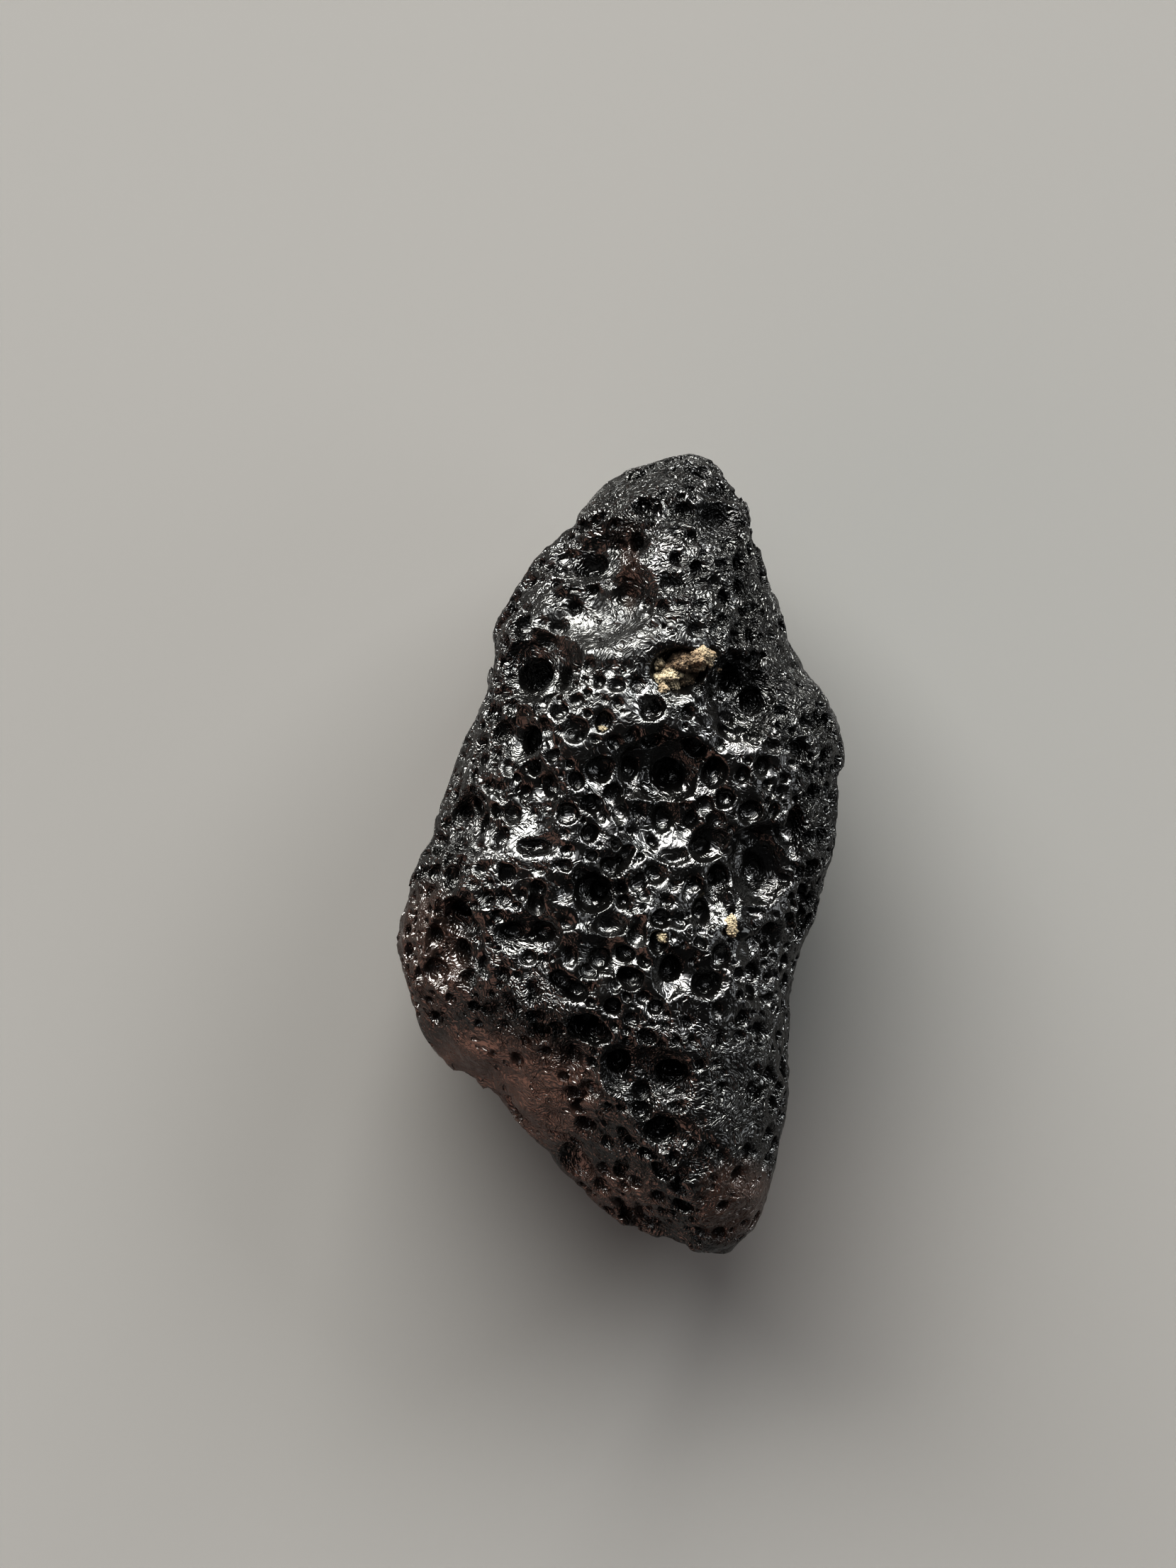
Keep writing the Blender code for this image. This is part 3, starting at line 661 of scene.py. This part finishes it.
# Where cups are dense or missing on the front: x, y, reach across, reach along, share
CUP_ZONES = [
    (0.9, 0.4, 4.2, 4.2, 1.0), (-2.4, -0.6, 2.0, 2.6, 0.9), (0.4, -3.0, 3.4, 1.6, 0.8),
    (-3.9, -5.0, 1.5, 1.1, 0.03), (-2.6, -6.2, 1.4, 1.0, 0.05), (-1.4, -7.4, 1.2, 1.0, 0.1),
    (-0.2, 9.4, 1.3, 1.0, 0.05), (-0.6, 5.75, 1.4, 0.85, 0.04), (3.0, -7.6, 1.2, 2.0, 0.25),
    (4.3, 5.2, 0.9, 1.6, 0.3), (2.2, -5.6, 1.0, 1.4, 0.35), (0.9, 8.0, 0.5, 1.6, 0.15),
]
ZONE_END, ZONE_FADE = 1.35, 0.5  # where a zone ends and how wide its soft edge is, in its reach
USUAL_CUPS = 0.75
BACK_PATCH = 3.0 * MM  # size of the patches with many or few cups on the sides and the back
PATCH_MIDDLE, PATCH_CONTRAST, PATCH_LEAST = 0.5, 1.8, 0.04
FRONT_LEVEL, FRONT_FADE = 4.4 * MM, 1.6 * MM  # height from which the zones count, and the fade below
PIT_CLEARING = 0.95  # the share of a pit's half width that stays free of cups
REST_HEIGHT = 0.35 * MM  # no cup starts below this height


def zone_values(points, usual, zones):
    """The usual value all over, changed smoothly to its own value inside each zone."""
    values = np.full(len(points), usual)
    for x, y, across, along, here in zones:
        away = np.hypot((points[:, 0] - x * MM) / (across * MM), (points[:, 1] - y * MM) / (along * MM))
        values += (here - values) * np.clip((ZONE_END - away) / ZONE_FADE, 0.0, 1.0)
    return values


def write_values(mesh, name, values):
    """Keeps one number for each vertex as a named attribute."""
    mesh.attributes.new(name, "FLOAT", "POINT").data.foreach_set("value", values)


def cup_shares(points):
    """How densely cups cover each point of the skin."""
    share = zone_values(points, USUAL_CUPS, CUP_ZONES)
    patches = np.array([noise.noise(Vector(point) / BACK_PATCH) for point in points])
    hidden = np.clip((FRONT_LEVEL - points[:, 2]) / FRONT_FADE, 0.0, 1.0)
    share += (np.clip(PATCH_MIDDLE + PATCH_CONTRAST * patches, PATCH_LEAST, 1.0) - share) * hidden
    for middle, _, half in pits:
        share[np.linalg.norm(points - np.array(middle), axis=1) < PIT_CLEARING * max(half)] = 0.0
    share[points[:, 2] < REST_HEIGHT] = 0.0
    return share


def strewn_cups_tree():
    """Cuts cups at random points of the skin, as densely as an attribute of the skin says."""
    tree, given = open_tree("Strewn cups", {
        "Ball": "Object", "Narrowest": "Float", "Widest": "Float", "Spacing": "Float",
        "Narrowest throat": "Float", "Widest throat": "Float", "Seed": "Int"})
    share = add(tree, "GeometryNodeInputNamedAttribute", {"data_type": "FLOAT"}, {"Name": "cups"})
    packed = CUP_PACKING / (given["Spacing"] * given["Spacing"])
    points = add(tree, "GeometryNodeDistributePointsOnFaces", {"distribute_method": "POISSON"},
                 {"Mesh": given["Geometry"], "Distance Min": given["Spacing"],
                  "Density Max": packed, "Density Factor": share, "Seed": given["Seed"]})
    radius = random_between(tree, given["Narrowest"] * 0.5, given["Widest"] * 0.5, 1)
    raised = random_between(tree, *LIP_RAISED, 2)
    throat = random_between(tree, given["Narrowest throat"], given["Widest throat"], 5)
    widen = 1.0 / (1.0 - raised * raised) ** 0.5
    stretch = random_between(tree, *CUP_STRETCH, 3)
    spin = random_between(tree, (-CUP_TILT, -CUP_TILT, 0.0), (CUP_TILT, CUP_TILT, math.tau), 4)
    turned = add(tree, "FunctionNodeRotateRotation", {"rotation_space": "LOCAL"},
                 {0: points.other("Rotation"), 1: add(tree, "FunctionNodeEulerToRotation", {}, {0: spin})})
    ball = shape_of(given["Ball"])
    both = tree.nodes.new("GeometryNodeJoinGeometry")
    lip, sunk = radius * widen, radius * THROAT_SUNK
    for wide, lifted in ((lip, lip * raised), (radius * throat, sunk)):
        places = add(tree, "GeometryNodeSetPosition", {},
                     {"Geometry": points, "Offset": points.other("Normal").scaled(lifted)})
        tree.links.new(copies(places, ball, turned, stretch.scaled(wide)).socket, both.inputs[0])
    close_tree(tree, carve(given["Geometry"], Wire(tree, both.outputs[0])), given)
    return tree


# Each layer of cups: narrowest, widest and spacing, then narrowest and widest throat as shares
CUP_LAYERS = [
    (0.40, 0.76, 0.45, 0.62, 0.86), (0.22, 0.38, 0.33, 0.60, 0.86), (0.13, 0.20, 0.38, 0.60, 0.86),
]
cups_tree = strewn_cups_tree()
write_values(stone.data, "cups", cup_shares(read_points(stone.data)))
for number, (narrow, wide, spacing, least, most) in enumerate(CUP_LAYERS):
    run_tree(stone, cups_tree, {
        "Ball": cup_shape, "Narrowest": narrow * MM, "Widest": wide * MM, "Spacing": spacing * MM,
        "Narrowest throat": least, "Widest throat": most, "Seed": SEED + number, "Material": glass})

# %% [markdown]
# Etching rounds every edge a little and never leaves a true circle. The cut mesh is remade of even
# small faces, its sharp rims are worn, and noise bends it so that no cup stays perfectly round.

# %% Even out and bend the skin
EVEN_FACE = 0.045 * MM
RIM_WEAR, RIM_WEAR_STEPS = 0.5, 2
BEND, BEND_SIZE = 0.22 * MM, 0.7 * MM
BEND_DETAIL, BEND_ROUGHNESS = 3.0, 0.6
HALF = (0.5, 0.5, 0.5)  # the middle of a noise's colour


def bend_tree():
    """Moves the skin sideways and outwards by smooth noise."""
    tree, given = open_tree("Bent skin", {"Bend": "Float", "Bend size": "Float"})
    lumps = add(tree, "ShaderNodeTexNoise", {"noise_dimensions": "3D"}, {
        "Vector": add(tree, "GeometryNodeInputPosition"), "Scale": 1.0 / given["Bend size"],
        "Detail": BEND_DETAIL, "Roughness": BEND_ROUGHNESS})
    moved = lumps.other("Color").with_vector("SUBTRACT", HALF).scaled(given["Bend"])
    close_tree(tree, add(tree, "GeometryNodeSetPosition", {},
                         {"Geometry": given["Geometry"], "Offset": moved}), given)
    return tree


even = stone.modifiers.new("Even", "REMESH")
even.mode = "VOXEL"
even.voxel_size = EVEN_FACE
keep_result(stone)
print("even skin:", len(stone.data.polygons), "faces")
worn = stone.modifiers.new("Worn rims", "SMOOTH")
worn.factor, worn.iterations = RIM_WEAR, RIM_WEAR_STEPS
keep_result(stone)
run_tree(stone, bend_tree(), {"Bend": BEND, "Bend size": BEND_SIZE, "Material": glass})

# %% [markdown]
# So many small faces are too many for a part, so the mesh is thinned. Thinning takes most from
# the small shapes, and those of the front matter most. So the front is blown up before it and
# brought back after it. What hangs below the floor is pressed flat, and crumbs of glass that the
# cups cut off are removed, so the stone is one closed mesh.

# %% Thin the skin
MOST_TRIANGLES = 198000
STONE_MIDDLE = np.array((0.0, 0.0, 4.0)) * MM
FRONT_SPARED = 0.9
FRONT_START, LENGTH_SHARE = 0.3, 0.6  # how far past the edge the front reaches, and how much y counts


def press_flat(mesh):
    """Presses what is below the floor up onto it."""
    points = read_points(mesh)
    points[:, 2] = np.maximum(points[:, 2], 0.0)
    write_points(mesh, points)


def swell(mesh, way):
    """Blows the front up round the stone's middle (way 1), or brings it back (way -1)."""
    outward = read_points(mesh) - STONE_MIDDLE
    front = outward[:, 2] / np.linalg.norm(outward * (1.0, LENGTH_SHARE, 1.0), axis=1)
    factor = 1.0 + FRONT_SPARED * np.clip(front + FRONT_START, 0.0, 1.0)
    write_points(mesh, STONE_MIDDLE + outward * (factor ** way)[:, None])


def keep_largest_part(mesh):
    """Removes crumbs that the cups cut off, and faces that thinning has doubled."""
    work = bmesh.new()
    work.from_mesh(mesh)
    unseen, parts = set(work.verts), []
    while unseen:
        part = reached = {unseen.pop()}
        while reached:
            reached = {edge.other_vert(vertex) for vertex in reached for edge in vertex.link_edges}
            reached &= unseen
            unseen -= reached
            part = part | reached
        parts.append(part)
    largest = max(parts, key=len)
    crumbs = [vertex for vertex in work.verts if vertex not in largest]
    bmesh.ops.delete(work, geom=crumbs, context="VERTS")
    work.to_mesh(mesh)
    work.free()
    mesh.validate()
    print("parts before:", len(parts), "kept vertices:", len(mesh.vertices))


press_flat(stone.data)
swell(stone.data, 1)
stone.modifiers.new("Triangles", "TRIANGULATE")
thin = stone.modifiers.new("Thin", "DECIMATE")
thin.ratio = MOST_TRIANGLES / sum(len(polygon.vertices) - 2 for polygon in stone.data.polygons)
keep_result(stone)
swell(stone.data, -1)
press_flat(stone.data)
keep_largest_part(stone.data)
stone.data.shade_smooth()
print("stone:", len(stone.data.polygons), "triangles")

# %% [markdown]
# The glass is not the same all over. Flow lines, left by the melt, show on the smooth flanks and
# the tip, and some faces are worn dull. The lower left flank gets a painted warm brown reflection,
# with a little of the glass's own brown. Each of these is a number that the mesh carries at every
# point, so the shader can read where it applies.

# %% Where the flow lines, the painted brown sheen and the wear show
# In each list: x, y, reach across, reach along, strength
FLOW_ZONES = [
    (0.9, 0.2, 4.0, 4.6, 0.06), (0.6, 9.5, 2.2, 1.2, 2.0), (2.4, 8.0, 1.2, 2.0, 1.2),
    (3.9, 5.6, 1.2, 2.4, 1.5), (-0.6, 5.9, 1.6, 0.9, 0.25), (-3.4, 5.2, 0.8, 2.4, 0.8),
    (-4.6, 0.6, 0.8, 1.4, 0.8), (5.1, 1.4, 0.6, 3.0, 1.5), (3.5, 7.6, 0.6, 2.0, 2.2),
    (-2.3, -4.2, 1.0, 1.0, 1.6), (-3.9, -5.6, 1.6, 1.2, 0.10), (1.4, -6.6, 1.6, 2.4, 0.6),
    (2.9, -8.3, 1.2, 1.6, 0.5),
]
# Where the brown shows: mostly a painted warm reflection on the lower flanks and the bottom, with a little
# of the glass's own brown
BROWN_SHEEN_ZONES = [
    (-3.3, -6.1, 2.2, 1.5, 1.0), (-4.9, -2.6, 0.9, 1.6, 0.35), (-0.6, -9.0, 1.4, 0.9, 0.6),
    (2.9, -8.8, 0.9, 1.0, 0.7), (0.2, 7.3, 0.2, 1.0, 0.25),
]
WORN_ZONES = [
    (-0.6, 5.7, 1.5, 1.0, 1.0), (0.6, 8.6, 1.2, 1.8, 0.2), (-4.1, 1.2, 1.2, 2.0, 0.9),
    (-1.2, 3.7, 1.5, 0.9, 0.7), (2.2, 6.6, 1.2, 1.6, 0.6), (-0.4, -2.4, 1.4, 0.8, 0.5),
    (3.0, -5.8, 1.0, 2.0, 0.5), (4.4, 3.4, 1.0, 1.4, 0.5),
]
USUAL_FLOW, USUAL_BROWN_SHEEN, USUAL_WORN = 0.5, 0.0, 0.2

for name, usual, zones in (("flow", USUAL_FLOW, FLOW_ZONES), ("brown", USUAL_BROWN_SHEEN, BROWN_SHEEN_ZONES),
                           ("worn", USUAL_WORN, WORN_ZONES)):
    write_values(stone.data, name, zone_values(read_points(stone.data), usual, zones))
    print(name, "zones:", len(zones))

# %% [markdown]
# Glass this dark is nearly black and mirrors like wet tar. Three kinds of detail are too small to
# cut, so they are summed into one height for a Bump node: flow lines, which are noise drawn out
# along a wandering direction, fine ridges where a second noise crosses its middle value, and
# pinholes, which are cells of noise with a sharp rim. The pattern is mirrored across the middle,
# so its lines fan out to both sides. Gloss changes from patch to patch.

# %% Black glass
GLASS_IOR = 1.55
# The brown is a painted warm reflection, with a little of the glass's own brown; the black is the glass's
# own colour
BLACK, BROWN_TINT_AND_SHEEN = (0.003, 0.0028, 0.0026, 1), (0.045, 0.027, 0.021, 1)
WANDER_SIZE, WANDER = 0.8, 1.6  # how the flow wanders from its direction, in mm
FLOW_TURN = (0.2, 0.3, 1.0)
FLOW_SIZES, PINHOLE_SIZES = (0.50, 0.12, 0.16), (0.62, 0.38, 0.42)
PINHOLE_RIM = 0.22
RIDGE_SIZE, RIDGE_SHARPNESS = 0.19, 4
# Heights of the bump in mm: flow lines, ridges where the flow shows, ridges all over, pinholes
FLOW_HIGH, RIDGE_HIGH, RIDGE_LEAST, PINHOLE_DEEP = 0.10, 0.034, 0.011, 0.09
GLOSS_SIZE, GLOSS_DETAIL, GLOSS_RAMP = 0.3, 4.0, (0.3, 0.7, 0.12, 0.22)
WORN_ROUGHER = 0.14

glass.use_nodes = True
tree = glass.node_tree
shader = tree.nodes["Principled BSDF"]
shader.inputs["IOR"].default_value = GLASS_IOR
in_mm = add(tree, "ShaderNodeTexCoord", output=3).scaled(1 / MM)


def grain(size, detail, vector=in_mm):
    """Noise whose lumps are about a given size in mm."""
    return add(tree, "ShaderNodeTexNoise", {}, {"Vector": vector, "Scale": 1.0 / size, "Detail": detail})


def drawn_out(sizes):
    """The place in mm, divided by a size along the flow and two sizes across it."""
    turned = add(tree, "ShaderNodeMapping", {}, {"Vector": drifted, "Rotation": FLOW_TURN})
    return turned.with_vector("DIVIDE", sizes)


bent = grain(WANDER_SIZE, 2.0).other("Color").with_vector("SUBTRACT", HALF).scaled(WANDER)
drifted = in_mm.with_vector("ABSOLUTE").with_vector("ADD", bent)
flow = grain(1.0, 1.0, drawn_out(FLOW_SIZES))
ridges = 1 - abs(grain(RIDGE_SIZE, 1.0, drifted) - 0.5) * RIDGE_SHARPNESS
apart = add(tree, "ShaderNodeTexVoronoi", {"feature": "F1"},
            {"Vector": drawn_out(PINHOLE_SIZES), "Scale": 1.0})
pinholes = (apart * apart / (PINHOLE_RIM * PINHOLE_RIM)).least(1.0)
shown = marked(tree, "flow")
height = flow * shown * FLOW_HIGH + ridges * (shown * RIDGE_HIGH + RIDGE_LEAST) + pinholes * PINHOLE_DEEP
bump = add(tree, "ShaderNodeBump", {}, {"Height": height, "Strength": 1.0, "Distance": MM})
tree.links.new(bump.socket, shader.inputs["Normal"])
rough = grain(GLOSS_SIZE, GLOSS_DETAIL).between(*GLOSS_RAMP) + marked(tree, "worn") * WORN_ROUGHER
tree.links.new(rough.socket, shader.inputs["Roughness"])
# Base colour: black glass, with the painted warm brown reflection mixed in over the brown zones
base = mixed(tree, marked(tree, "brown"), BLACK, BROWN_TINT_AND_SHEEN)
tree.links.new(base.socket, shader.inputs["Base Color"])
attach(stone, "root")
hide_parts("tektite")
print("glass:", len(tree.nodes), "nodes")

# %% [markdown]
# Dry soil is packed in one pit, two crumbs of it lie in others, and a small pale bead sits on the
# front. Soil is a heap of grains of many sizes, and a smooth lump with a rough texture never looks
# like it. So each heap is a low lump under a skin of real grains: Geometry Nodes strew points over
# it and set a small uneven pebble on each, turned and sized by a seeded dice.

# %% Heaps of soil
# Each heap: x, y, across, along, high, how far it is sunk, and how pale it is. The last is the bead
SOIL_HEAPS = [
    (1.66, 4.98, 1.55, 1.15, 1.50, 0.05, 0.15), (1.22, 4.62, 0.95, 0.72, 1.00, 0.05, 0.9),
    (2.10, 5.16, 0.70, 0.62, 0.90, 0.08, 0.3), (0.98, 5.02, 0.36, 0.34, 0.30, 0.04, 0.7),
    (1.10, 4.33, 0.34, 0.30, 0.20, 0.04, 0.2), (2.92, -1.86, 0.30, 0.56, 0.20, 0.04, 0.5),
    (-0.47, 3.31, 0.24, 0.14, 0.16, -0.02, 1.0), (1.13, -2.16, 0.30, 0.30, 0.30, -0.06, 1.0),
]
# Dents: height as a share of the size, how fine, and fade, gap and count of the noise's octaves
DENT_HEIGHT, DENT_FINENESS, DENT_NOISE = 0.28, 1.7, (0.7, 2.1, 3)
PEBBLE_DENT_HEIGHT, PEBBLE_DENT_FINENESS = 0.35, 1.6
GRAIN_SPACING = 0.055 * MM
GRAIN_PACKING = 1.6  # points that are tried in a square as wide as the spacing
GRAIN_WIDTHS = (0.05 * MM, 0.13 * MM)
GRAIN_STRETCH = (0.6, 0.6, 0.5), (1.3, 1.3, 1.0)


def heap_mesh(skin):
    """One mesh with a low uneven lump for each heap, on the skin where it is seen."""
    points, faces, pale = [], [], []
    ball = ball_object("lump", 4)
    for x, y, across, along, high, sunk, paleness in SOIL_HEAPS:
        place, _, nearer = seen_at(skin, x, y)
        start = len(points)
        for vertex in ball.data.vertices:
            dent = noise.fractal(vertex.co * DENT_FINENESS + place / MM, *DENT_NOISE)
            uneven = 1.0 + DENT_HEIGHT * dent
            side, ahead, up = vertex.co
            lump = Vector((across * side, along * ahead, high * up)) * MM / 2 * nearer
            points.append(place + lump * uneven - Vector((0, 0, sunk * MM)))
            pale.append(paleness)
        faces += [[start + corner for corner in polygon.vertices] for polygon in ball.data.polygons]
    bpy.data.objects.remove(ball)
    mesh = bpy.data.meshes.new("soil")
    mesh.from_pydata(points, [], faces)
    mesh.attributes.new("pale", "FLOAT", "POINT").data.foreach_set("value", pale)
    return mesh


def grains_tree():
    """Covers a lump with small pebbles."""
    tree, given = open_tree("Soil grains", {
        "Pebble": "Object", "Smallest": "Float", "Largest": "Float", "Spacing": "Float", "Seed": "Int"})
    points = add(tree, "GeometryNodeDistributePointsOnFaces", {"distribute_method": "POISSON"},
                 {"Mesh": given["Geometry"], "Distance Min": given["Spacing"],
                  "Density Max": GRAIN_PACKING / (given["Spacing"] * given["Spacing"]),
                  "Seed": given["Seed"]})
    share = random_between(tree, 0.0, 1.0, 5)
    width = given["Smallest"] + (given["Largest"] - given["Smallest"]) * share * share * share
    size = random_between(tree, *GRAIN_STRETCH, 6).scaled(width * 0.5)
    turn = random_between(tree, (0.0, 0.0, 0.0), (math.tau, math.tau, math.tau), 7)
    turned = add(tree, "FunctionNodeEulerToRotation", {}, {0: turn})
    both = tree.nodes.new("GeometryNodeJoinGeometry")
    tree.links.new(given["Geometry"].socket, both.inputs[0])
    tree.links.new(copies(points, shape_of(given["Pebble"]), turned, size).socket, both.inputs[0])
    close_tree(tree, Wire(tree, both.outputs[0]), given)
    return tree


def pebble_object():
    """An uneven pebble of a few dozen faces."""
    pebble = ball_object("pebble", 2)
    for vertex in pebble.data.vertices:
        vertex.co *= 1.0 + PEBBLE_DENT_HEIGHT * noise.noise(vertex.co * PEBBLE_DENT_FINENESS)
    return pebble


soil_finish = bpy.data.materials.new("tan_soil")
soil = bpy.data.objects.new("soil", heap_mesh(skin_tree(stone)))
bpy.context.scene.collection.objects.link(soil)
pebble = pebble_object()
run_tree(soil, grains_tree(), {"Pebble": pebble, "Smallest": GRAIN_WIDTHS[0], "Largest": GRAIN_WIDTHS[1],
                               "Spacing": GRAIN_SPACING, "Seed": SEED, "Material": soil_finish})
bpy.data.objects.remove(pebble)
soil.data.shade_smooth()
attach(soil, "root")
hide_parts("soil_in_pit")
print("soil:", len(soil.data.polygons), "faces")

# %% [markdown]
# Soil is matt, and its colour changes from grain to grain: most are tan, some are dark brown, and
# a pale cream clay lies on the lower left. Cells of noise give each grain its own colour.

# %% Soil colours
DARK_TAN, PALE_TAN = (0.038, 0.025, 0.015, 1), (0.110, 0.080, 0.052, 1)
CREAM, CREAM_RAMP = (0.17, 0.145, 0.105, 1), (0.60, 0.95)
PALE_WEIGHT = 0.6
CELLS_IN_A_MM, PATCHES_IN_A_MM, SPECKS_IN_A_MM = 9.0, 1.6, 30.0
SOIL_DETAIL = 3.0
SOIL_ROUGHNESS = 0.9
SPECK_HEIGHT = 0.01 * MM

soil_finish.use_nodes = True
tree = soil_finish.node_tree
shader = tree.nodes["Principled BSDF"]
in_mm = add(tree, "ShaderNodeTexCoord", output=3).scaled(1 / MM)
each = add(tree, "ShaderNodeTexVoronoi", {"feature": "F1"}, {"Vector": in_mm, "Scale": CELLS_IN_A_MM})
each = add(tree, "ShaderNodeSeparateColor", {}, {0: each.other("Color")})
patch, specks = (
    add(tree, "ShaderNodeTexNoise", {}, {"Vector": in_mm, "Scale": scale, "Detail": SOIL_DETAIL})
    for scale in (PATCHES_IN_A_MM, SPECKS_IN_A_MM))
paleness = (patch + marked(tree, "pale") * PALE_WEIGHT).between(*CREAM_RAMP)
cream = mixed(tree, paleness, mixed(tree, each, DARK_TAN, PALE_TAN), CREAM)
tree.links.new(cream.socket, shader.inputs["Base Color"])
shader.inputs["Roughness"].default_value = SOIL_ROUGHNESS
bump = add(tree, "ShaderNodeBump", {}, {"Height": specks, "Strength": 1.0, "Distance": SPECK_HEIGHT})
tree.links.new(bump.socket, shader.inputs["Normal"])
print("soil finish:", len(tree.nodes), "nodes")

# %% [markdown]
# The balls were only there to cut, so they go.

# %% Finish
for ball in (pit_shape, cup_shape):
    bpy.data.objects.remove(ball)
